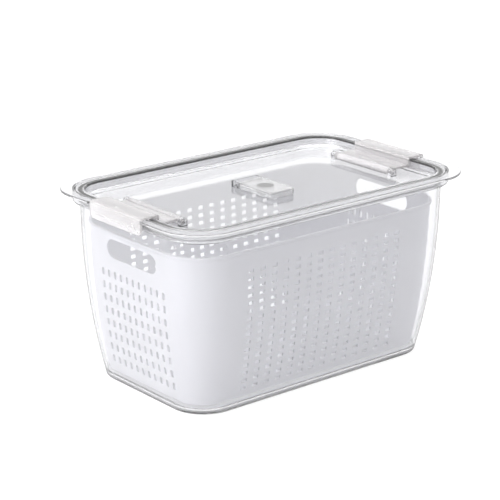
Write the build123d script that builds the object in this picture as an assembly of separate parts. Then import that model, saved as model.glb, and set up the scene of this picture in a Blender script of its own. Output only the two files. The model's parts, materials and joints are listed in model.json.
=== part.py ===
"""Fridge bin: a clear tub, a perforated lift-out basket and an inset lid with two side latches.

Millimetres, +Z up. The origin is the middle of the tub's base, on the surface that the bin stands on.
X runs along the length and Y across the width. Each separate piece is written to parts/NODE.step.
"""

import os
from math import atan2, degrees, hypot

from build123d import *

# ---- Tub: overall sizes ----
TUB_HEIGHT = 172.6  # base to the top of the brim
WALL_TOP_LENGTH = 303.4  # outer wall, just under the ledge
WALL_TOP_WIDTH = 185.2
WALL_FLARE = 14.85  # how far each wall leans out from the base to the ledge
FLARE_POWER = 2.16  # 1 would be a straight wall; above it the lower wall curves in
BASE_CORNER = 33.4  # corner radius in plan at the base
WALL_CORNER = 36.0  # corner radius in plan just under the ledge
TUB_WALL = 2.2
TUB_FLOOR = 2.8
BASE_EDGE = 2.4  # rounding outside the base
FLOOR_FILLET = 6.5  # rounding inside, between floor and wall

# ---- Tub: mouth, ledge and brim ----
MOUTH_STEP = 3.4  # mouth's inner face past the outer wall below it
MOUTH_CORNER = 36.85
MOUTH_DEPTH = 9.4  # brim's top down to the ledge
STEP_ROUND = 2.6  # rounding under the ledge, outside
BRIM_END = 9.9  # brim width at the two ends
BRIM_SIDE = 11.35  # brim width along the two long sides
BRIM_THICK = 2.2
BRIM_CORNER = 41.4
BRIM_EDGE = 0.7
MOUTH_EDGE = 0.6

# ---- Lid ----
LID_CLEARANCE = 0.3  # between lid and mouth, all round
LID_SINK = 1.2  # lid's top below the brim's top
LID_WALL = 2.2
RING_WIDTH = 8.9  # raised ring round the recessed panel
RING_EDGE = 1.3
PANEL_DEPTH = 10.8  # ring's top down to the panel's top
PANEL_FILLET = 1.6
SKIRT_DEPTH = 5.4  # ring's outer skirt, top to bottom
GASKET_PLAY = 0.1
GASKET_LIP = 2.0
GASKET_BODY = 3.6  # height of the part held in the ring's channel

# ---- Latches, one at each end ----
LATCH_WIDTH = 73.0
LATCH_PLATE = 2.4
LATCH_STEP = 24.6  # hinge axis to the outer face of the riser
LATCH_TOP_GAP = 0.4  # over the lid's ring
LATCH_SKIN = 2.2
LATCH_DROP = 15.5  # finger skirt, top to bottom
LATCH_ROUND = 2.0
LATCH_TOP_ROUND = 1.0  # top plate's edge over the riser
LATCH_NECK_ROUND = 0.7  # between flat plate and riser
LATCH_CORNER = 5.0
BARREL_RADIUS = 3.7
BARREL_GAP = 0.3  # barrel above the panel
RISER_GAP = 0.5  # riser to the lid's ring
LUG_GAP = 0.4
LUG_WIDTH = 4.2
AXLE_RADIUS = 1.5
AXLE_LENGTH = 3.6
AXLE_PLAY = 0.1
SWING_GAP = 0.3  # latch to the brim as it swings
SNAP_RIB = 1.0
RIB_DROP = 1.0  # rib below the hinge axis
RIB_INSET = 10.0  # rib's ends from the latch's ends
NOTCH_DEPTH = 6.1  # brim's edge in to the notch's bottom
NOTCH_PLAY = 0.8
NOTCH_CORNER = 1.5

# ---- Vent: flap, its frame and its plug ----
VENT_LENGTH = 55.0  # along Y, hinge frame and flap together
VENT_WIDTH = 29.0
FRAME_DEPTH = 9.6  # the hinge frame's share of that length
VENT_RISE = 5.8  # top of the vent over the panel
FLAP_SKIN = 1.8
FLAP_CORNER = 5.0
FLAP_EDGE = 0.8
FLAP_GAP = 0.4
FLAP_SWING_GAP = 0.6  # opened flap to the frame's back wall
FRAME_WALL = 2.0
POST_SETBACK = 1.5  # hinge posts behind the flap's tray
FRAME_BACK = 1.5
FRAME_EDGE = 0.4
FLAP_AXLE = 1.2
FLAP_BARREL = 2.2
FLAP_STUB = 1.5
VENT_HOLE = 6.5  # radius of the hole in the panel
VENT_HOLE_SETBACK = 25.0  # hole's centre from the flap's hinge axis
PLUG_GAP = 0.5
PLUG_DEPTH = 1.6  # how far the plug's nose goes into the hole
PLUG_FLANGE = 1.6  # flange past the nose
PLUG_ROUND = 0.5

# ---- Basket ----
BASKET_GAP_END = 3.8  # basket to tub wall, at the ends
BASKET_GAP_SIDE = 5.4  # and along the sides
BASKET_WALL = 1.8
BASKET_CORNER = 22.5  # corner radius in plan at the underside
BASKET_FLOOR = 2.0
BASKET_HEADROOM = 13.9  # basket's rim to the underside of the lid's panel
BASKET_FOOT = 4.2
FOOT_SIZE = 16.0
FOOT_CORNER = 4.0
FOOT_INSET = 18.0  # from the floor's edges
BASKET_EDGE = 3.6  # rounding outside, between floor and wall
BASKET_INNER_EDGE = 2.7
LIP_WIDTH = 1.6
LIP_HEIGHT = 3.2
LIP_ROUND = 1.3
RIM_ROUND = 0.7

# ---- Basket perforations ----
SIDE_HOLE = (6.2, 3.8)  # along X, along Z
SIDE_PITCH = (12.94, 7.27)
SIDE_TOP_ROW = 19.7  # below the rim
SIDE_BOTTOM_GAP = 8.5  # least height of the last row over the underside
SIDE_CORNER_GAP = 20.0
END_HOLE = (3.4, 6.6)  # along Y, along Z
END_PITCH = (8.72, 11.91)
END_TOP_ROW = 15.8  # below the finger slot
END_BOTTOM_GAP = 12.0
END_CORNER_GAP = 4.0
FLOOR_PITCH = (12.94, 13.0)
FLOOR_MARGIN = 12.0
HOLE_CORNER = 0.9
SLOT_WIDTH = 70.5  # finger slot
SLOT_HEIGHT = 17.4
SLOT_DROP = 6.8  # top of the slot below the rim

LOFT_LEVELS = 7
BAND_COUNT = 5
NEAR = 0.01  # two places closer than this are the same

# ---- Heights and half sizes that follow from them ----
ledge_z = TUB_HEIGHT - MOUTH_DEPTH
ledge_under_z = ledge_z - TUB_WALL
mouth_length = WALL_TOP_LENGTH + 2 * MOUTH_STEP
mouth_width = WALL_TOP_WIDTH + 2 * MOUTH_STEP
brim_length = mouth_length + 2 * BRIM_END
brim_width = mouth_width + 2 * BRIM_SIDE

lid_top_z = TUB_HEIGHT - LID_SINK
lid_length = mouth_length - 2 * LID_CLEARANCE
lid_width = mouth_width - 2 * LID_CLEARANCE
lid_corner = MOUTH_CORNER - LID_CLEARANCE
panel_top_z = lid_top_z - PANEL_DEPTH
panel_under_z = panel_top_z - LID_WALL
recess_half = lid_length / 2 - RING_WIDTH

hinge_x = recess_half - RISER_GAP - LATCH_STEP
hinge_z = panel_top_z + BARREL_RADIUS + BARREL_GAP
latch_under_z = lid_top_z + LATCH_TOP_GAP
latch_top_z = latch_under_z + LATCH_SKIN
notch_half = brim_length / 2 - NOTCH_DEPTH
notch_width = LATCH_WIDTH + 2 * NOTCH_PLAY
swing_radius = hypot(notch_half - hinge_x, lid_top_z - hinge_z)
skirt_inner = swing_radius + SWING_GAP + SNAP_RIB
latch_reach = skirt_inner + LATCH_SKIN

vent_top_z = panel_top_z + VENT_RISE
flap_axis_z = panel_top_z + FLAP_BARREL + FLAP_GAP
flap_axis_y = VENT_LENGTH / 2 - FRAME_BACK - FLAP_SWING_GAP - (vent_top_z - flap_axis_z)
vent_hole_y = flap_axis_y - VENT_HOLE_SETBACK

basket_z = TUB_FLOOR + BASKET_FOOT
basket_floor_z = basket_z + BASKET_FLOOR
basket_rim_z = panel_under_z - BASKET_HEADROOM
basket_inset = (TUB_WALL + BASKET_GAP_END, TUB_WALL + BASKET_GAP_SIDE)
slot_z = basket_rim_z - SLOT_DROP - SLOT_HEIGHT / 2


def plate(length, width, corner, z_low, z_high):
    """A flat slab with rounded corners in plan, from z_low to z_high."""
    outline = Pos(0, 0, z_low) * RectangleRounded(length, width, corner)
    return extrude(outline, amount=z_high - z_low)


def lean(z):
    """Share of the wall's flare that is still to come at this height, 1 at the base and 0 at the ledge."""
    return max(0.0, 1 - z / ledge_under_z) ** FLARE_POWER


def wall_half(z, inset=(0.0, 0.0)):
    """Half length and half width at this height of the tub's outer wall, or of a wall set in from it."""
    flare = WALL_FLARE * lean(z)
    half_length = WALL_TOP_LENGTH / 2 - flare - inset[0]
    half_width = WALL_TOP_WIDTH / 2 - flare - inset[1]
    return half_length, half_width


def curved_block(z_low, z_high, inset=0.0):
    """A solid that follows the tub's curved outer wall, set in from it all round."""
    sections = []
    for step in range(LOFT_LEVELS):
        z = z_low + (z_high - z_low) * step / (LOFT_LEVELS - 1)
        half_length, half_width = wall_half(z, (inset, inset))
        corner = WALL_CORNER - (WALL_CORNER - BASE_CORNER) * lean(z) - inset
        sections.append(Pos(0, 0, z) * RectangleRounded(2 * half_length, 2 * half_width, corner))
    return loft(sections)


def banded_block(z_low, z_high, inset, corner):
    """The same curve as a stack of straight tapered bands, whose flat walls suit perforation.

    The corner radius is the one at the bottom, and grows upwards as the walls lean out.
    """
    bands = []
    rise = (z_high - z_low) / BAND_COUNT
    for band in range(BAND_COUNT):
        z = z_low + rise * band
        half_length, half_width = wall_half(z, inset)
        grown = WALL_FLARE * (lean(z_low) - lean(z))
        spread = WALL_FLARE * (lean(z) - lean(z + rise))
        outline = Pos(0, 0, z) * RectangleRounded(2 * half_length, 2 * half_width, corner + grown)
        bands.append(extrude(outline, amount=rise, taper=-degrees(atan2(spread, rise))))
    block = bands[0]
    for band in bands[1:]:
        block += band
    return block


def edges_at(shape, z):
    """The edges that lie flat at this height."""
    flat = []
    for edge in shape.edges():
        box = edge.bounding_box()
        if abs(box.min.Z - z) < NEAR and abs(box.max.Z - z) < NEAR:
            flat.append(edge)
    return flat


def outer_bin():
    """The clear tub: curved walls, a ledge that steps out to the mouth, and a flat brim."""
    walls = curved_block(0, ledge_under_z)
    walls = fillet(edges_at(walls, 0), BASE_EDGE)
    step_length = mouth_length + 2 * TUB_WALL
    step_width = mouth_width + 2 * TUB_WALL
    step_block = plate(step_length, step_width, MOUTH_CORNER + TUB_WALL, ledge_under_z, TUB_HEIGHT)
    step_block = fillet(edges_at(step_block, ledge_under_z), STEP_ROUND)
    cavity = curved_block(TUB_FLOOR, ledge_under_z, TUB_WALL)
    cavity = fillet(edges_at(cavity, TUB_FLOOR), FLOOR_FILLET)
    neck_length = WALL_TOP_LENGTH - 2 * TUB_WALL
    neck_width = WALL_TOP_WIDTH - 2 * TUB_WALL
    neck = plate(neck_length, neck_width, WALL_CORNER - TUB_WALL, ledge_under_z, ledge_z)
    mouth = plate(mouth_length, mouth_width, MOUTH_CORNER, ledge_z, TUB_HEIGHT)
    tub = walls + step_block + notched_brim() - cavity - neck - mouth
    tub = fillet(mouth_rim(tub), MOUTH_EDGE)
    seat = Box(2 * brim_length, notch_width, 2 * LID_SINK)
    return tub - Pos(0, 0, lid_top_z + LID_SINK) * seat


def notched_brim():
    """The brim's flat plate, with a notch at each end that the latch's skirt swings through."""
    brim_low_z = TUB_HEIGHT - BRIM_THICK
    brim = plate(brim_length, brim_width, BRIM_CORNER, brim_low_z, TUB_HEIGHT)
    notch = Box(2 * NOTCH_DEPTH, notch_width, 4 * BRIM_THICK)
    notch = fillet(notch.edges().filter_by(Axis.Z), NOTCH_CORNER)
    for side in (-1, 1):
        brim -= Pos(side * brim_length / 2, 0, TUB_HEIGHT) * notch
    return fillet(edges_at(brim, TUB_HEIGHT) + edges_at(brim, brim_low_z), BRIM_EDGE)


def mouth_rim(tub):
    """The inner edge of the brim's top face, all round the mouth."""
    rim = edges_at(tub, TUB_HEIGHT)
    return [e for e in rim if is_inside(e, mouth_length / 2, mouth_width / 2)]


def is_inside(edge, half_length, half_width):
    """Whether an edge lies within a rectangle about the origin, in plan."""
    box = edge.bounding_box()
    reach_x = max(abs(box.min.X), abs(box.max.X))
    reach_y = max(abs(box.min.Y), abs(box.max.Y))
    return reach_x < half_length + NEAR and reach_y < half_width + NEAR


def hole_grid(face, height, size, pitch, counts, depth):
    """Small rounded-rectangle cutters that stand across a plane in a grid, centred at this height on it."""
    hole = RectangleRounded(*size, HOLE_CORNER)
    cutter = extrude(hole, amount=depth, both=True)
    return [face * Pos(0, height, 0) * at * cutter for at in GridLocations(*pitch, *counts)]


def count_along(space, pitch):
    """How many holes at this pitch have their centres within the space."""
    return int(space / pitch) + 1


def drain_basket():
    """The white lift-out basket: perforated walls and floor, finger slots and feet."""
    basket = basket_shell()
    basket = basket - side_holes()
    basket = basket - end_holes()
    basket = basket - floor_holes()
    slot = SlotOverall(SLOT_WIDTH, SLOT_HEIGHT)
    basket = basket - extrude(Plane.YZ * Pos(0, slot_z) * slot, WALL_TOP_LENGTH, both=True)
    half_length, half_width = wall_half(basket_z, basket_inset)
    foot_x = half_length - FOOT_INSET - FOOT_SIZE / 2
    foot_y = half_width - FOOT_INSET - FOOT_SIZE / 2
    foot = plate(FOOT_SIZE, FOOT_SIZE, FOOT_CORNER, TUB_FLOOR, basket_z + BASKET_FLOOR / 2)
    for at in GridLocations(2 * foot_x, 2 * foot_y, 2, 2):
        basket += at * foot
    return basket


def basket_shell():
    """The basket before it is perforated: floor, curved walls and a lip turned out round the rim."""
    shell = banded_block(basket_z, basket_rim_z, basket_inset, BASKET_CORNER)
    shell = fillet(edges_at(shell, basket_z), BASKET_EDGE)
    inner = (basket_inset[0] + BASKET_WALL, basket_inset[1] + BASKET_WALL)
    hollow = banded_block(basket_floor_z, basket_rim_z, inner, BASKET_CORNER - BASKET_WALL)
    hollow = fillet(edges_at(hollow, basket_floor_z), BASKET_INNER_EDGE)
    half_length, half_width = wall_half(basket_rim_z, basket_inset)
    rim_corner = BASKET_CORNER + WALL_FLARE * (lean(basket_z) - lean(basket_rim_z))
    lip_length = 2 * (half_length + LIP_WIDTH)
    lip_width = 2 * (half_width + LIP_WIDTH)
    lip_low_z = basket_rim_z - LIP_HEIGHT
    lip = plate(lip_length, lip_width, rim_corner + LIP_WIDTH, lip_low_z, basket_rim_z)
    lip = fillet(edges_at(lip, lip_low_z), LIP_ROUND)
    basket = shell + lip - hollow
    return fillet(edges_at(basket, basket_rim_z), RIM_ROUND)


def side_holes():
    """Cutters for the holes of both long walls, in rows counted down from the rim."""
    top_row = basket_rim_z - SIDE_TOP_ROW
    rows = count_along(top_row - basket_z - SIDE_BOTTOM_GAP, SIDE_PITCH[1])
    straight = wall_half(basket_z, basket_inset)[0] - BASKET_CORNER - SIDE_CORNER_GAP
    counts = (count_along(2 * straight, SIDE_PITCH[0]), rows)
    middle = top_row - SIDE_PITCH[1] * (rows - 1) / 2
    return hole_grid(Plane.XZ, middle, SIDE_HOLE, SIDE_PITCH, counts, WALL_TOP_WIDTH)


def end_holes():
    """Cutters for the holes of both end walls, in rows counted down from the finger slot."""
    top_row = slot_z - SLOT_HEIGHT / 2 - END_TOP_ROW
    rows = count_along(top_row - basket_z - END_BOTTOM_GAP, END_PITCH[1])
    straight = wall_half(basket_z, basket_inset)[1] - BASKET_CORNER - END_CORNER_GAP
    counts = (count_along(2 * straight, END_PITCH[0]), rows)
    middle = top_row - END_PITCH[1] * (rows - 1) / 2
    return hole_grid(Plane.YZ, middle, END_HOLE, END_PITCH, counts, WALL_TOP_LENGTH)


def floor_holes():
    """Cutters for the drain holes of the floor."""
    half_length, half_width = wall_half(basket_z, basket_inset)
    columns = count_along(2 * (half_length - BASKET_CORNER - FLOOR_MARGIN), FLOOR_PITCH[0])
    rows = count_along(2 * (half_width - FLOOR_MARGIN), FLOOR_PITCH[1])
    return hole_grid(Plane.XY, 0, SIDE_HOLE, FLOOR_PITCH, (columns, rows), 2 * basket_z)


def lid():
    """The clear inset lid: recessed panel, raised ring with a channel, latch lugs and the vent's frame."""
    ring = plate(lid_length, lid_width, lid_corner, panel_under_z, lid_top_z)
    ring = fillet(edges_at(ring, lid_top_z), RING_EDGE)
    recess = shrunk(RING_WIDTH, panel_top_z, lid_top_z)
    recess = fillet(edges_at(recess, panel_top_z), PANEL_FILLET)
    channel_top = lid_top_z - LID_WALL
    inner = RING_WIDTH - LID_WALL
    channel = shrunk(LID_WALL, panel_under_z, channel_top) - shrunk(inner, panel_under_z, channel_top)
    below_skirt = shrunk(-LID_CLEARANCE, panel_under_z, lid_top_z - SKIRT_DEPTH)
    below_skirt = below_skirt - shrunk(inner, panel_under_z, channel_top)
    body = ring - recess - channel - below_skirt
    rim = [e for e in edges_at(body, lid_top_z) if is_inside(e, recess_half, lid_width / 2 - RING_WIDTH)]
    body = fillet(rim, RING_EDGE)
    for side in (-1, 1):
        body = body + latch_lugs(side)
    body = body + vent_frame()
    body = body - Pos(0, vent_hole_y, 0) * Cylinder(VENT_HOLE, 4 * TUB_HEIGHT)
    return body


def shrunk(inset, z_low, z_high):
    """A slab with the lid's outline drawn in by an inset."""
    return plate(lid_length - 2 * inset, lid_width - 2 * inset, lid_corner - inset, z_low, z_high)


def latch_lugs(side):
    """Two round lugs that stand on the panel and hold the ends of one latch's axle."""
    lugs = []
    for end in (-1, 1):
        middle = end * (LATCH_WIDTH / 2 + LUG_GAP + LUG_WIDTH / 2)
        at = Pos(side * hinge_x, middle, hinge_z)
        disc = at * Rot(90, 0, 0) * Cylinder(BARREL_RADIUS, LUG_WIDTH)
        leg_height = hinge_z - panel_top_z + LID_WALL / 2
        leg = at * Pos(0, 0, -leg_height / 2) * Box(2 * BARREL_RADIUS, LUG_WIDTH, leg_height)
        hole = at * Rot(90, 0, 0) * Cylinder(AXLE_RADIUS + AXLE_PLAY, 4 * LUG_WIDTH)
        lugs.append(disc + leg - hole)
    return lugs


def vent_frame():
    """The frame at the +Y end of the vent: two posts that hold the flap's stubs, and a low back wall."""
    back_y = VENT_LENGTH / 2
    base_z = panel_top_z - LID_WALL / 2
    height = vent_top_z - base_z
    middle_z = base_z + height / 2
    depth = FRAME_DEPTH - POST_SETBACK
    back = Pos(0, back_y - FRAME_BACK / 2, middle_z) * Box(VENT_WIDTH, FRAME_BACK, height)
    posts = []
    for end in (-1, 1):
        x = end * (VENT_WIDTH - FRAME_WALL) / 2
        post = Pos(x, back_y - depth / 2, middle_z) * Box(FRAME_WALL, depth, height)
        posts.append(post)
    frame = back + posts
    frame = fillet(edges_at(frame, vent_top_z), FRAME_EDGE)
    at = Pos(0, flap_axis_y, flap_axis_z) * Rot(0, 90, 0)
    return frame - at * Cylinder(FLAP_AXLE + AXLE_PLAY, 2 * VENT_WIDTH)


def lid_gasket():
    """The silicone ring in the channel under the lid, with a lip that rests on the tub's ledge."""
    channel_top = lid_top_z - LID_WALL
    outer = LID_WALL + GASKET_PLAY
    inner = RING_WIDTH - LID_WALL - GASKET_PLAY
    body_low = channel_top - GASKET_BODY
    body = shrunk(outer, body_low, channel_top) - shrunk(inner, body_low, channel_top)
    lip_outer = outer + GASKET_PLAY
    lip = shrunk(lip_outer, ledge_z, body_low) - shrunk(lip_outer + GASKET_LIP, ledge_z, body_low)
    return body + lip


def latch(side):
    """A clear latch: barrel with a stub axle at each end, flat plate, riser, top plate and finger skirt."""
    top_z = (latch_under_z - hinge_z, latch_top_z - hinge_z)
    low_z = top_z[1] - LATCH_DROP
    riser_inner = LATCH_STEP - LATCH_SKIN
    profile = Polyline(
        (0, 0),
        (LATCH_STEP, 0),
        (LATCH_STEP, top_z[0]),
        (skirt_inner, top_z[0]),
        (skirt_inner, low_z),
        (latch_reach, low_z),
        (latch_reach, top_z[1]),
        (riser_inner, top_z[1]),
        (riser_inner, LATCH_PLATE),
        (0, LATCH_PLATE),
        close=True,
    )
    section = make_face(Plane.XZ * profile)
    strap = extrude(section, amount=LATCH_WIDTH / 2, both=True)
    strap = fillet(along_width(strap, latch_reach, top_z[1]), LATCH_ROUND)
    strap = fillet(along_width(strap, riser_inner, top_z[1]), LATCH_TOP_ROUND)
    strap = fillet(along_width(strap, riser_inner, LATCH_PLATE), LATCH_NECK_ROUND)
    strap = fillet(lower_corners(strap, low_z), LATCH_CORNER)
    across = Rot(90, 0, 0)
    rib = Pos(skirt_inner, 0, -RIB_DROP) * across * Cylinder(SNAP_RIB, LATCH_WIDTH - 2 * RIB_INSET)
    barrel = across * Cylinder(BARREL_RADIUS, LATCH_WIDTH)
    axle = across * Cylinder(AXLE_RADIUS, LATCH_WIDTH + 2 * AXLE_LENGTH)
    turn = 0 if side > 0 else 180
    return Pos(side * hinge_x, 0, hinge_z) * Rot(0, 0, turn) * (strap + rib + barrel + axle)


def along_width(shape, x, z):
    """The edge that runs along Y at this place in the latch's profile."""
    edges = shape.edges().filter_by(Axis.Y)
    return [e for e in edges if hypot(e.center().X - x, e.center().Z - z) < NEAR]


def lower_corners(shape, z):
    """The short edges through the finger skirt's thickness at its two lower corners."""
    edges = shape.edges().filter_by(Axis.X)
    return [e for e in edges if abs(e.center().Z - z) < NEAR and e.length < 2 * LATCH_SKIN]


def vent_flap():
    """The clear flip-up vent cover: an upside-down tray with a hinge barrel at its +Y end."""
    near_y = -VENT_LENGTH / 2
    far_y = VENT_LENGTH / 2 - FRAME_DEPTH
    length = far_y - near_y
    low_z = panel_top_z + FLAP_GAP
    height = vent_top_z - low_z
    middle = Pos(0, (near_y + far_y) / 2, low_z + height / 2)
    tray = middle * Box(VENT_WIDTH, length, height)
    corners = [e for e in tray.edges().filter_by(Axis.Z) if e.center().Y < near_y + NEAR]
    tray = fillet(corners, FLAP_CORNER)
    tray = fillet(edges_at(tray, vent_top_z), FLAP_EDGE)
    pocket = Box(VENT_WIDTH - 2 * FLAP_SKIN, length - 2 * FLAP_SKIN, height)
    pocket = fillet(pocket.edges().filter_by(Axis.Z), FLAP_CORNER - FLAP_SKIN)
    tray = tray - Pos(0, 0, -FLAP_SKIN) * middle * pocket
    barrel_length = VENT_WIDTH - 2 * (FRAME_WALL + FLAP_GAP)
    at = Pos(0, flap_axis_y, flap_axis_z) * Rot(0, 90, 0)
    barrel = at * Cylinder(FLAP_BARREL, barrel_length)
    stub = at * Cylinder(FLAP_AXLE, barrel_length + 2 * (FLAP_GAP + FLAP_STUB))
    web_length = flap_axis_y - far_y + FLAP_SKIN / 2
    web_middle = Pos(0, flap_axis_y - web_length / 2, flap_axis_z + FLAP_BARREL / 2)
    web = web_middle * Box(barrel_length, web_length, FLAP_BARREL)
    return tray + web + barrel + stub


def vent_plug():
    """The silicone stopper under the flap: a flange against the flap and a nose in the panel's hole."""
    flange_top = vent_top_z - FLAP_SKIN
    flange = Cylinder(VENT_HOLE + PLUG_FLANGE, flange_top - panel_top_z)
    flange = fillet(flange.edges(), PLUG_ROUND)
    nose_length = PLUG_DEPTH + PLUG_FLANGE
    nose = Cylinder(VENT_HOLE - PLUG_GAP, nose_length)
    plug = Pos(0, vent_hole_y, (flange_top + panel_top_z) / 2) * flange
    return plug + Pos(0, vent_hole_y, panel_top_z - PLUG_DEPTH + nose_length / 2) * nose


if __name__ == "__main__":
    os.makedirs("parts", exist_ok=True)
    pieces = {
        "outer_bin": outer_bin(),
        "drain_basket": drain_basket(),
        "lid": lid(),
        "lid_gasket": lid_gasket(),
        "latch_left": latch(-1),
        "latch_right": latch(1),
        "vent_flap": vent_flap(),
        "vent_plug": vent_plug(),
    }
    for name, shape in pieces.items():
        export_step(shape, f"parts/{name}.step", write_pcurves=False)
        print(name, round(shape.volume))
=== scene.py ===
import json
from math import atan2, cos, pi, radians, sin, sqrt

import bmesh
import bpy
import numpy as np
from mathutils import Matrix, Vector


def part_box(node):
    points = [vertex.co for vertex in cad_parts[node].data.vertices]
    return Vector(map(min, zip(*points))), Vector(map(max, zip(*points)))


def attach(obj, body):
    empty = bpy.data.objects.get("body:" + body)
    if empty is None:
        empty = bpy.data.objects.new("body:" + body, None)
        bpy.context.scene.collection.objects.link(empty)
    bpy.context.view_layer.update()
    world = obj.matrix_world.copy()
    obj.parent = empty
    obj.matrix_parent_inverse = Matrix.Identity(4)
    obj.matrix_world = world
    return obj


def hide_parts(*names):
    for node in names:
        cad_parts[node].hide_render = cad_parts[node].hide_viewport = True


# Fridge bin. The tub, the basket and the lid keep their CAD shapes and get their finishes here. The
# latches, the vent cover, its stopper and the lid's seal are drawn here, with softened edges. Shapes are
# worked out in millimetres and turned to metres once, where their mesh is made.

MM = 0.001
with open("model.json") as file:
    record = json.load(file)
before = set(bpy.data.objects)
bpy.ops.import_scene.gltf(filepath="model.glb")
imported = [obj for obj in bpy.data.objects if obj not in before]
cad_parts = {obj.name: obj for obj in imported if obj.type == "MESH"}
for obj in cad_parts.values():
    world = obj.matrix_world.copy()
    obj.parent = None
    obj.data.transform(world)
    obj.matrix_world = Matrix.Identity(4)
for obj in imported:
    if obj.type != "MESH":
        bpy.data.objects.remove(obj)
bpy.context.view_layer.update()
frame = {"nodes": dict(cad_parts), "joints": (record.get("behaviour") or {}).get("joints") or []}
nodes = frame["nodes"]
hinges = {joint["name"]: np.array(joint["pos_m"]) / MM for joint in frame["joints"] if "pos_m" in joint}


# ---- Outlines and skins ----


def unit(v):
    """Rows of v at length 1."""
    return v / np.maximum(np.linalg.norm(v, axis=-1, keepdims=True), 1e-9)


def rounded(corners, radii, steps=7):
    """A closed outline with an arc at each corner.

    The arc's centre is on the corner's bisector, radius / sin(half angle) away. The arc runs between the two
    points radius / tan(half angle) along the sides, as a weighted sum of the two spokes that lead to them.
    """
    corners = np.asarray(corners, float)
    radii = np.asarray(radii, float)[:, None]
    before = unit(np.roll(corners, 1, 0) - corners)
    after = unit(np.roll(corners, -1, 0) - corners)
    half = np.arccos(np.clip((before * after).sum(1), -1, 1))[:, None] / 2
    centre = corners + unit(before + after) * radii / np.sin(half)
    spoke_in = corners + before * radii / np.tan(half) - centre
    spoke_out = corners + after * radii / np.tan(half) - centre
    turn = pi - 2 * half[:, :, None]
    t = np.linspace(0, 1, steps)[None, :, None]
    arcs = np.sin((1 - t) * turn) * spoke_in[:, None] + np.sin(t * turn) * spoke_out[:, None]
    return (centre[:, None] + arcs / np.sin(turn)).reshape(-1, 2)


def plan_ring(low, high, radii, inset, z):
    """A level rounded rectangle between the corners low and high, drawn in by inset, at height z."""
    x0, y0, x1, y1 = low[0] + inset, low[1] + inset, high[0] - inset, high[1] - inset
    flat = rounded([(x0, y0), (x1, y0), (x1, y1), (x0, y1)], np.maximum(np.asarray(radii) - inset, 0.15))
    return np.column_stack((flat, np.full(len(flat), z)))


def level_circle(middle, radius, z, turns=56):
    """Points at equal angles round middle, at height z."""
    angle = np.linspace(0, 2 * pi, turns, endpoint=False)
    x = middle[0] + radius * np.cos(angle)
    y = middle[1] + radius * np.sin(angle)
    return np.column_stack((x, y, np.full(turns, z)))


def drawn_in(outline, inset):
    """An outline moved in: each point goes by inset along its normal, its chord turned a quarter."""
    chord = unit(np.roll(outline, -1, 0) - np.roll(outline, 1, 0))
    return outline - np.column_stack((chord[:, 1], -chord[:, 0])) * inset


def softened_ends(length, radius, between):
    """Stations along a straight bar, with those in between on both sides of its middle, and how far its
    outline is drawn in at each. At the ends it follows a quarter circle: in by radius * (1 - sin a), and
    short of the end by radius * (1 - cos a)."""
    a = np.linspace(0, pi / 2, 5)
    half = np.concatenate([length / 2 - radius * (1 - np.cos(a)), between])
    inset = np.concatenate([radius * (1 - np.sin(a)), np.zeros(len(between))])
    places = np.concatenate([-half, half])
    order = np.argsort(places, kind="stable")
    return places[order], np.concatenate([inset, inset])[order]


def skin(rings, looped=False):
    """Vertices and faces of a tube through rings of equal count, closed round each ring. Looped, the last
    ring joins the first. Otherwise one flat face closes each end."""
    rings = np.asarray(rings)
    index = np.arange(rings.shape[0] * rings.shape[1]).reshape(rings.shape[:2])
    beside = np.roll(index, -1, 1)
    quads = np.stack([index, beside, np.roll(beside, -1, 0), np.roll(index, -1, 0)], -1)
    if looped:
        return rings.reshape(-1, 3), quads.reshape(-1, 4).tolist()
    ends = [index[0].tolist(), index[-1].tolist()]
    return rings.reshape(-1, 3), quads[:-1].reshape(-1, 4).tolist() + ends


def stub(middle, axis, start, length, radius, tip):
    """A short axle from middle along axis (0 is X, 1 is Y). It starts inside its part, ends start + length
    away and is narrower by tip at its end. A minus length points the other way."""
    way = np.sign(length)
    along = way * (abs(start) + np.array([-0.4, abs(length) - tip, abs(length)]))
    rings = np.stack([level_circle((0, 0), r, 0, 24) for r in (radius, radius, radius - tip)])
    across, up = rings[..., 0], rings[..., 1]
    shift = np.broadcast_to(along[:, None], across.shape)
    level = (shift, across) if axis == 0 else (across, shift)
    return skin(np.stack([middle[0] + level[0], middle[1] + level[1], middle[2] + up], -1))


def piece(name, skins, material, body, replaced):
    """One object from several closed skins: welded, faces outward, and smooth except at real creases."""
    made = bmesh.new()
    for vertices, faces in skins:
        corners = [made.verts.new(at) for at in (vertices * MM).tolist()]
        for face in faces:
            made.faces.new([corners[i] for i in face])
    bmesh.ops.remove_doubles(made, verts=made.verts, dist=1e-6)
    bmesh.ops.recalc_face_normals(made, faces=made.faces)
    mesh = bpy.data.meshes.new(name)
    made.to_mesh(mesh)
    made.free()
    mesh.polygons.foreach_set("use_smooth", np.ones(len(mesh.polygons), bool))
    mesh.set_sharp_from_angle(angle=radians(34))
    mesh.materials.append(material)
    shape = bpy.data.objects.new(name, mesh)
    bpy.context.scene.collection.objects.link(shape)
    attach(shape, body)
    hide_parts(replaced)


# ---- Finishes ----


def linear(hex_colour):
    """sRGB hex, such as F2F2F5, to the linear RGBA that the shaders take."""
    srgb = np.array([int(hex_colour[i : i + 2], 16) for i in (0, 2, 4)]) / 255
    rgb = np.where(srgb <= 0.04045, srgb / 12.92, ((srgb + 0.055) / 1.055) ** 2.4)
    return (*rgb.tolist(), 1.0)


def add(tree, kind, inputs=None, **settings):
    """Adds one node. Settings are its properties. Inputs, by name or number, are values, sockets to link, or
    nodes whose first output is linked."""
    made = tree.nodes.new(kind)
    for name, value in settings.items():
        setattr(made, name, value)
    for name, value in (inputs or {}).items():
        if isinstance(value, bpy.types.Node):
            value = value.outputs[0]
        if isinstance(value, bpy.types.NodeSocket):
            tree.links.new(value, made.inputs[name])
        else:
            made.inputs[name].default_value = value
    return made


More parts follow.
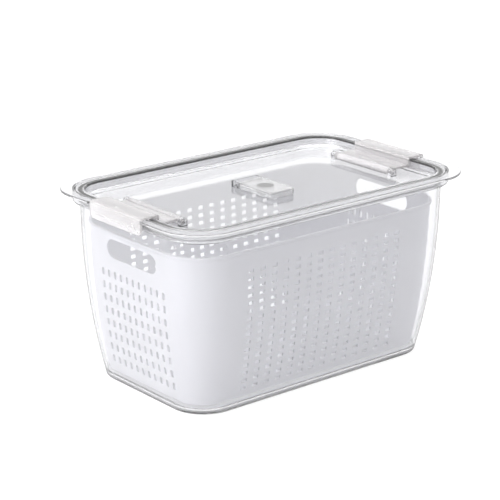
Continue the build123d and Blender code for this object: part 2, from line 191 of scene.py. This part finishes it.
def new_finish(name):
    """An empty material, its node tree and the object's own coordinates."""
    material = bpy.data.materials.new(name)
    material.use_nodes = True
    material.node_tree.nodes.clear()
    return material, material.node_tree, add(material.node_tree, "ShaderNodeTexCoord").outputs["Object"]


def moulded_clear(name, body, edge, rough, ripple_mm, clear, turned=0.62, level=(0.1, 0.6), milky_strip=None):
    """Clear injection-moulded styrene. Its body is colourless. The edge colour is painted shade in the base
    colour: where a face turns away from the view, the colour goes towards it, standing in for the darkening
    of thick clear plastic along its wall, so outlines read as thin grey lines. turned says how far away that
    starts, and level between which upward tilts the painted shade fades out, so level faces are spared it.
    clear is the share of light that goes through.

    Roughness drifts with the mould's polish in 40 mm patches, and 7 mm patches are handling haze. A ripple
    about 55 mm long and microns deep is the melt's flow, which bends reflections a little. milky_strip is a
    middle height and half a width in mm where the mould is textured: a pale strip round the foot, above the
    thin dark line where the wall traps light.
    """
    material, tree, place = new_finish(name)
    patches = add(tree, "ShaderNodeTexNoise", {"Vector": place, "Scale": 1 / (40 * MM)})
    polish = add(tree, "ShaderNodeMapRange", {"Value": patches, "To Min": rough * 0.5, "To Max": rough * 1.5})
    smears = add(tree, "ShaderNodeTexNoise", {"Vector": place, "Scale": 1 / (7 * MM), "Detail": 4.0})
    smeared = {"Value": smears, "From Min": 0.55, "From Max": 0.8, "To Max": rough}
    haze = add(tree, "ShaderNodeMapRange", smeared)
    roughness = add(tree, "ShaderNodeMath", {0: polish, 1: haze}, operation="ADD")
    flow = add(tree, "ShaderNodeTexNoise", {"Vector": place, "Scale": 1 / (55 * MM), "Detail": 1.0})
    ripple = add(tree, "ShaderNodeBump", {"Height": flow, "Strength": 0.15, "Distance": ripple_mm * MM})

    # Painted edge shade: the base colour goes towards the edge colour where a face turns away from the view,
    # but not on level faces, nor where a ray leaves the plastic.
    facing = add(tree, "ShaderNodeLayerWeight", {"Blend": 0.5}).outputs["Facing"]
    turning = {"Value": facing, "From Min": turned, "From Max": 0.85}
    grazing = add(tree, "ShaderNodeMapRange", turning, interpolation_type="SMOOTHSTEP")
    surface = add(tree, "ShaderNodeNewGeometry").outputs
    upward = add(tree, "ShaderNodeSeparateXYZ", {0: surface["Normal"]}).outputs["Z"]
    fading = {"Value": upward, "From Min": level[0], "From Max": level[1], "To Min": 1.0, "To Max": 0.0}
    tilted = add(tree, "ShaderNodeMapRange", fading)
    outline = add(tree, "ShaderNodeMath", {0: grazing, 1: tilted}, operation="MULTIPLY")
    outside = add(tree, "ShaderNodeMath", {0: 1.0, 1: surface["Backfacing"]}, operation="SUBTRACT")
    painted_edge_shade = add(tree, "ShaderNodeMath", {0: outline, 1: outside}, operation="MULTIPLY")
    tones = {0: painted_edge_shade, 6: linear(body), 7: linear(edge)}
    colour = add(tree, "ShaderNodeMix", tones, data_type="RGBA").outputs[2]

    look = {"Base Color": colour, "Roughness": roughness, "Normal": ripple}
    shader = add(tree, "ShaderNodeBsdfPrincipled", look)
    shader.inputs["IOR"].default_value = 1.5
    shader.inputs["Transmission Weight"].default_value = clear
    if milky_strip:
        height = add(tree, "ShaderNodeSeparateXYZ", {0: place}).outputs["Z"]
        strip = {0: height, 1: milky_strip[0] * MM, 2: milky_strip[1] * MM}
        milky = add(tree, "ShaderNodeMath", strip, operation="COMPARE")
        through = add(tree, "ShaderNodeMapRange", {"Value": milky, "To Min": clear, "To Max": clear * 0.8})
        tree.links.new(through.outputs[0], shader.inputs["Transmission Weight"])
    add(tree, "ShaderNodeOutputMaterial", {"Surface": shader})
    return material


def blasted_polypropylene(name):
    """White polypropylene from a fine-blasted mould: satin sheen, cool white, with a very soft cloudiness.

    The blasted grain is 0.1 mm, too fine to show, so it is drawn at 0.6 mm and kept shallow. The pigment's
    cloudiness is in patches of about 60 mm.
    """
    material, tree, place = new_finish(name)
    cloud = add(tree, "ShaderNodeTexNoise", {"Vector": place, "Scale": 1 / (60 * MM), "Detail": 3.0})
    tones = {0: cloud, 6: linear("ECECF1"), 7: linear("F2F2F5")}
    colour = add(tree, "ShaderNodeMix", tones, data_type="RGBA").outputs[2]
    sheen = add(tree, "ShaderNodeMapRange", {"Value": cloud, "To Min": 0.34, "To Max": 0.5})
    blasting = add(tree, "ShaderNodeTexNoise", {"Vector": place, "Scale": 1 / (0.6 * MM)})
    grain = add(tree, "ShaderNodeBump", {"Height": blasting, "Strength": 0.2, "Distance": 0.03 * MM})
    look = {"Base Color": colour, "Roughness": sheen, "Normal": grain}
    shader = add(tree, "ShaderNodeBsdfPrincipled", look)
    shader.inputs["IOR"].default_value = 1.49
    add(tree, "ShaderNodeOutputMaterial", {"Surface": shader})
    return material


def pressed_silicone(name):
    """Pressed clear silicone rubber: milky, a little violet, with a soft waxy highlight.

    Dust gives patches about 5 mm across in its roughness and its tone.
    """
    material, tree, place = new_finish(name)
    dust = add(tree, "ShaderNodeTexNoise", {"Vector": place, "Scale": 1 / (5 * MM), "Detail": 4.0})
    tones = {0: dust, 6: linear("FAF9FC"), 7: linear("FDFDFE")}
    colour = add(tree, "ShaderNodeMix", tones, data_type="RGBA").outputs[2]
    sheen = add(tree, "ShaderNodeMapRange", {"Value": dust, "To Min": 0.15, "To Max": 0.3})
    shader = add(tree, "ShaderNodeBsdfPrincipled", {"Base Color": colour, "Roughness": sheen})
    shader.inputs["IOR"].default_value = 1.41
    shader.inputs["Transmission Weight"].default_value = 0.85
    add(tree, "ShaderNodeOutputMaterial", {"Surface": shader})
    return material


def backdrop_paper(name):
    """Backdrop paper over a light table: pale, matt and nearly shadowless, with a faint tooth 3 mm across."""
    material, tree, place = new_finish(name)
    tooth = add(tree, "ShaderNodeTexNoise", {"Vector": place, "Scale": 1 / (3 * MM)})
    tones = {0: tooth, 6: linear("9E9E9E"), 7: linear("A2A2A2")}
    colour = add(tree, "ShaderNodeMix", tones, data_type="RGBA").outputs[2]
    shader = add(tree, "ShaderNodeBsdfPrincipled", {"Base Color": colour, "Roughness": 0.9})
    shader.inputs["Emission Color"].default_value = (1, 1, 1, 1)
    shader.inputs["Emission Strength"].default_value = 0.7
    add(tree, "ShaderNodeOutputMaterial", {"Surface": shader})
    return material


# Tub: where a wall is seen along its face it is painted a dark grey, 38383C, as painted shade for the
# darkening of thick clear plastic.
tub_styrene = moulded_clear(
    "clear_styrene_polished_tub", "FAFAFC", "38383C", 0.02, 0.6, 0.93, milky_strip=(4.0, 1.4)
)
# Lid: thinner edges than the tub's, so its painted edge shade is a lighter grey.
lid_styrene = moulded_clear("clear_styrene_polished_lid", "FDFDFE", "A4A4AA", 0.02, 0.6, 0.95)
# Latches: satin inside, so what lies under them is blurred. Their painted edge shade is near black and
# reaches their barrels' tops too, a painted dark line for the shade in the gap at the hinge.
latch_styrene = moulded_clear(
    "clear_styrene_satin_latch", "FCFAFB", "28282C", 0.17, 0.3, 0.75, turned=0.45, level=(0.9, 0.98)
)
# Vent cover: as the latches, with the same near-black painted edge shade, but glossier.
vent_styrene = moulded_clear(
    "clear_styrene_satin_vent", "FBFBFC", "28282C", 0.06, 0.3, 0.8, turned=0.45, level=(0.9, 0.98)
)
basket_white = blasted_polypropylene("white_polypropylene_blasted")
seal_silicone = pressed_silicone("translucent_silicone_pressed")

for node, finish in (("outer_bin", tub_styrene), ("lid", lid_styrene), ("drain_basket", basket_white)):
    nodes[node].data.materials.clear()
    nodes[node].data.materials.append(finish)


# ---- Latches ----

LATCH_WIDTH = 73.0
LATCH_BARREL = 3.7
LATCH_PLATE = 2.4
RISER = (22.4, 24.6)  # inner and outer face, out from the hinge
TOP_PLATE = (7.2, 9.4)  # lower and upper face, up from the hinge
SKIRT = (40.0, 42.2)
SKIRT_LOW = -6.1
SKIRT_CORNER = 4.9
RIB_DROP = 1.0
RIB_REACH = 1.0
RIB_INSET = 10.0
RIB_FADE = 2.0
LATCH_EDGE = 0.6
LATCH_ROUNDS = [0.05, 0.6, 0.5, 0.6, 0.5, 0.7, 2.0, 1.0, 0.7, 0.05]  # of the section's corners, in order
LATCH_AXLE = 1.5
LATCH_AXLE_LENGTH = 3.6


def latch_outline():
    """The latch's section across its hinge, with the axis at 0, 0: plate, riser, top plate and skirt with
    rounded corners, then the barrel's arc. Also says which points are the snap rib's half circle."""
    join = sqrt(LATCH_BARREL**2 - LATCH_PLATE**2)
    under = [(LATCH_BARREL, 0), (RISER[1], 0), (RISER[1], TOP_PLATE[0]), (SKIRT[0], TOP_PLATE[0])]
    skirt = [(SKIRT[0], SKIRT_LOW), (SKIRT[1], SKIRT_LOW), (SKIRT[1], TOP_PLATE[1])]
    over = [(RISER[0], TOP_PLATE[1]), (RISER[0], LATCH_PLATE), (join, LATCH_PLATE)]
    corners = under + skirt + over
    line = rounded(corners, LATCH_ROUNDS)
    before, after = np.split(line, [len(line) * len(under) // len(corners)])
    angle = np.linspace(pi / 2, 3 * pi / 2, 9)
    rib = np.column_stack((SKIRT[0] + RIB_REACH * np.cos(angle), RIB_REACH * np.sin(angle) - RIB_DROP))
    turn = np.linspace(atan2(LATCH_PLATE, join), 2 * pi, 34)[1:-1]
    barrel = np.column_stack((LATCH_BARREL * np.cos(turn), LATCH_BARREL * np.sin(turn)))
    is_rib = np.repeat([False, True, False], [len(before), len(rib), len(after) + len(barrel)])
    return np.concatenate([before, rib, after, barrel]), is_rib


def latch(name, node, hinge, side):
    """One latch: its section carried along Y with softened ends, and two axles.

    Near each end the skirt's lower edge rises on a quarter circle: by r - sqrt(r^2 - d^2), where d is how far
    a place is past the arc's start. The snap rib sinks into the skirt over its last two millimetres.
    """
    section, is_rib = latch_outline()
    half = LATCH_WIDTH / 2
    corner_stations = half - SKIRT_CORNER * (1 - np.cos(np.linspace(0.3, pi / 2, 8)))
    rib_stations = half - RIB_INSET - np.linspace(0, RIB_FADE, 3)
    y, inset = softened_ends(LATCH_WIDTH, LATCH_EDGE, [*corner_stations, *rib_stations, half / 3, 0.5])
    outlines = np.stack([drawn_in(section, depth) for depth in inset])
    past = np.clip(SKIRT_CORNER - (half - np.abs(y)), 0, SKIRT_CORNER)
    rise = SKIRT_CORNER - np.sqrt(SKIRT_CORNER**2 - past**2)
    rib_height = np.clip((half - RIB_INSET - np.abs(y)) / RIB_FADE, 0, 1)
    x, z = outlines[..., 0], outlines[..., 1]
    x = np.where(is_rib, SKIRT[0] + (x - SKIRT[0]) * rib_height[:, None], x)
    in_skirt = np.clip((SKIRT_LOW + SKIRT_CORNER - z) / SKIRT_CORNER, 0, 1) * (x > SKIRT[0] - 1.5)
    z = z + rise[:, None] * in_skirt
    rings = np.stack([hinge[0] + side * x, np.broadcast_to(y[:, None], x.shape), hinge[2] + z], -1)
    middle = (hinge[0], 0, hinge[2])
    axles = [stub(middle, 1, half, way * LATCH_AXLE_LENGTH, LATCH_AXLE, 0.4) for way in (-1, 1)]
    piece(name, [skin(rings), *axles], latch_styrene, node, node)


latch("side_latch_left", "latch_left", hinges["latch_left_hinge"], -1)
latch("side_latch_right", "latch_right", hinges["latch_right_hinge"], 1)


# ---- Vent: flip-up cover and its stopper ----

TRAY_LENGTH = 45.4
TRAY_DEPTH = 5.4
TRAY_SKIN = 1.8
TRAY_EDGE = 0.9
TRAY_LIP = 0.3
TRAY_CAP = 3.0  # in from the edge, where one flat face takes over
NEAR_CORNER = 5.0
HINGE_CORNER = 0.6
VENT_BARREL = 2.2
VENT_BARREL_LENGTH = 24.2
VENT_STUB = 1.2
VENT_STUB_LENGTH = 1.9
STOPPER_NOSE = 1.6
STOPPER_FLANGE = 2.1


def vent_cover(hinge):
    """The flip-up cover. Its tray is nested rounded rectangles: in from the top face over the softened edge,
    down the wall, round the lip and up to the roof inside. A web leads to a barrel along X with two stubs."""
    low, high = (np.array(corner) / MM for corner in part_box("vent_flap"))
    far = (high[0], low[1] + TRAY_LENGTH)
    top, under, roof = high[2], high[2] - TRAY_DEPTH, high[2] - TRAY_SKIN
    a = np.linspace(0, pi / 2, 5)
    over_edge = np.column_stack((TRAY_EDGE * (1 - np.sin(a)), top - TRAY_EDGE * (1 - np.cos(a))))
    lip = [(0, under + TRAY_LIP), (TRAY_LIP, under)]
    lip += [(TRAY_SKIN - TRAY_LIP, under), (TRAY_SKIN, under + TRAY_LIP)]
    inside = [(TRAY_SKIN, roof - 0.5), (TRAY_SKIN + 0.5, roof), (TRAY_SKIN + 2.2, roof)]
    corners = (NEAR_CORNER, NEAR_CORNER, HINGE_CORNER, HINGE_CORNER)
    line = [(TRAY_CAP, top), *over_edge, *lip, *inside]
    tray = skin([plan_ring(low, far, corners, inset, z) for inset, z in line])

    reach = hinge[1] - far[1] + TRAY_SKIN / 2
    web = [(0, VENT_BARREL), (-reach, VENT_BARREL), (-reach, 0.2), (-VENT_BARREL, 0.2)]
    turn = np.linspace(pi, 2.5 * pi, 26)[1:-1]
    arc = np.column_stack((VENT_BARREL * np.cos(turn), VENT_BARREL * np.sin(turn)))
    section = np.concatenate([rounded(web, [0.1, 0.3, 0.3, 0.1]), arc])
    x, inset = softened_ends(VENT_BARREL_LENGTH, 0.3, [6.0])
    outlines = np.stack([drawn_in(section, -depth) for depth in inset])
    across = np.broadcast_to(x[:, None], outlines.shape[:2])
    barrel = skin(np.stack([across, hinge[1] + outlines[..., 0], hinge[2] + outlines[..., 1]], -1))
    half = VENT_BARREL_LENGTH / 2
    stubs = [stub((0, *hinge[1:]), 0, half, way * VENT_STUB_LENGTH, VENT_STUB, 0.25) for way in (-1, 1)]
    piece("vent_cover", [tray, barrel, *stubs], vent_styrene, "vent", "vent_flap")


def vent_stopper():
    """The silicone stopper, as a lathe would turn it: circles from the flange's top over its rounded edge,
    back to the nose under it, and over the small bead near the nose's end."""
    low, high = (np.array(corner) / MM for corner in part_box("vent_plug"))
    middle = (low + high) / 2
    flange = middle[0] - low[0]
    nose = flange - STOPPER_FLANGE
    top, seat, tip = high[2], low[2] + STOPPER_NOSE, low[2]
    line = [(3.0, top), (flange - 0.5, top), (flange - 0.15, top - 0.15), (flange, top - 0.5)]
    line += [(flange, seat + 0.5), (flange - 0.15, seat + 0.15), (flange - 0.5, seat), (nose - 0.15, seat)]
    line += [(nose - 0.25, seat - 0.4), (nose, seat - 0.9), (nose - 0.2, tip + 0.2), (nose - 0.7, tip)]
    line += [(2.0, tip)]
    rings = [level_circle(middle, radius, z) for radius, z in line]
    piece("vent_stopper", [skin(rings)], seal_silicone, "vent", "vent_plug")


vent_cover(hinges["vent_hinge"])
vent_stopper()


# ---- Lid seal ----

SEAL_WIDTH = 4.3
SEAL_BODY = 3.6
SEAL_CORNER = 34.25
SEAL_EDGE = 0.4


def lid_seal():
    """The silicone ring. Its section, a block above and a tapered lip below that flares to the ledge, is
    carried round the lid's rounded outline. Each point of the section is an inset and a height."""
    low, high = (np.array(corner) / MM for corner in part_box("lid_gasket"))
    top, foot, tip = high[2], high[2] - SEAL_BODY, low[2]
    outer = [(SEAL_EDGE, top), (0, top - SEAL_EDGE), (0, foot + 0.5)]
    outer += [(0.25, foot), (0.12, tip + 0.6), (0.35, tip)]
    inner = [(1.2, tip), (2.0, tip + 0.9), (2.2, foot - 0.3), (2.6, foot), (SEAL_WIDTH - 0.3, foot)]
    inner += [(SEAL_WIDTH, foot + 0.3), (SEAL_WIDTH, top - SEAL_EDGE), (SEAL_WIDTH - SEAL_EDGE, top)]
    section = rounded(outer + inner, [0.12] * len(outer + inner), 3)
    rings = [plan_ring(low, high, [SEAL_CORNER] * 4, inset, z) for inset, z in section]
    piece("lid_seal", [skin(rings, looped=True)], seal_silicone, "lid", "lid_gasket")


lid_seal()


# ---- Studio ----

scene = bpy.context.scene


def paper_floor():
    """A flat grid 12 m wide under the tub, 0.3 mm below it so that the two faces don't share a plane."""
    side = np.linspace(-6, 6, 5)
    x, y = np.meshgrid(side, side, indexing="ij")
    points = np.stack([x, y, np.full_like(x, -0.3 * MM)], -1).reshape(-1, 3)
    index = np.arange(len(points)).reshape(x.shape)
    quads = np.stack([index[:-1, :-1], index[1:, :-1], index[1:, 1:], index[:-1, 1:]], -1)
    mesh = bpy.data.meshes.new("floor")
    mesh.from_pydata(points.tolist(), [], quads.reshape(-1, 4).tolist())
    mesh.materials.append(backdrop_paper("pale_backdrop_paper"))
    floor = bpy.data.objects.new("floor", mesh)
    scene.collection.objects.link(floor)


def studio_air():
    """Room light by height alone: bright walls low down, a dimmer band 25 to 31 degrees up, then a ceiling
    that is brightest overhead."""
    world = bpy.data.worlds.new("studio")
    scene.world = world
    world.use_nodes = True
    tree = world.node_tree
    tree.nodes.clear()
    towards = add(tree, "ShaderNodeTexCoord").outputs["Generated"]
    height = add(tree, "ShaderNodeSeparateXYZ", {0: towards}).outputs["Z"]
    ramp = add(tree, "ShaderNodeValToRGB", {0: height})
    stops = ramp.color_ramp.elements
    stops.remove(stops[1])
    stops[0].color = (1, 1, 1, 1)
    low_walls = ((0.1, 1), (0.2, 0.93), (0.34, 0.93), (0.42, 0.72), (0.52, 0.72))
    ceiling = ((0.6, 1.2), (0.72, 1.2), (0.9, 2.4))
    for at, grey in low_walls + ceiling:
        stops.new(at).color = (grey, grey, grey, 1)
    air = add(tree, "ShaderNodeBackground", {"Color": ramp, "Strength": 1.0})
    add(tree, "ShaderNodeOutputWorld", {"Surface": air})


def soft_box(name, at, width, height, watts):
    """A rectangular soft light that faces the bin."""
    data = bpy.data.lights.new(name, "AREA")
    data.shape = "RECTANGLE"
    data.size, data.size_y, data.energy = width, height, watts
    lamp = bpy.data.objects.new(name, data)
    scene.collection.objects.link(lamp)
    lamp.location = at
    lamp.rotation_euler = (Vector((0, 0, 0.1)) - lamp.location).to_track_quat("-Z", "Y").to_euler()


def place_camera(turn, rise, at, lens):
    """A long-lens camera at a place. turn and rise, in degrees, give the way from the bin back to it."""
    data = bpy.data.cameras.new("camera")
    data.lens, data.sensor_width, data.clip_end = lens, 36, 30
    camera = bpy.data.objects.new("camera", data)
    scene.collection.objects.link(camera)
    turn, rise = radians(turn), radians(rise)
    back = Vector((cos(rise) * cos(turn), cos(rise) * sin(turn), sin(rise)))
    right = Vector((-sin(turn), cos(turn), 0))
    axes = Matrix((right, back.cross(right), back)).transposed().to_4x4()
    camera.matrix_world = Matrix.Translation(at) @ axes
    scene.camera = camera


paper_floor()
studio_air()
soft_box("key_left", (-2.2, 0.1, 0.9), 2.0, 1.6, 40)
place_camera(-129.43, 18.08, (-1.0315, -1.2355, 0.6299), 135.1)
scene.view_settings.view_transform = "Standard"
scene.cycles.use_denoising = True
scene.cycles.max_bounces = 48  # light in the clear walls turns back many times before it comes out
scene.cycles.transmission_bounces = 48
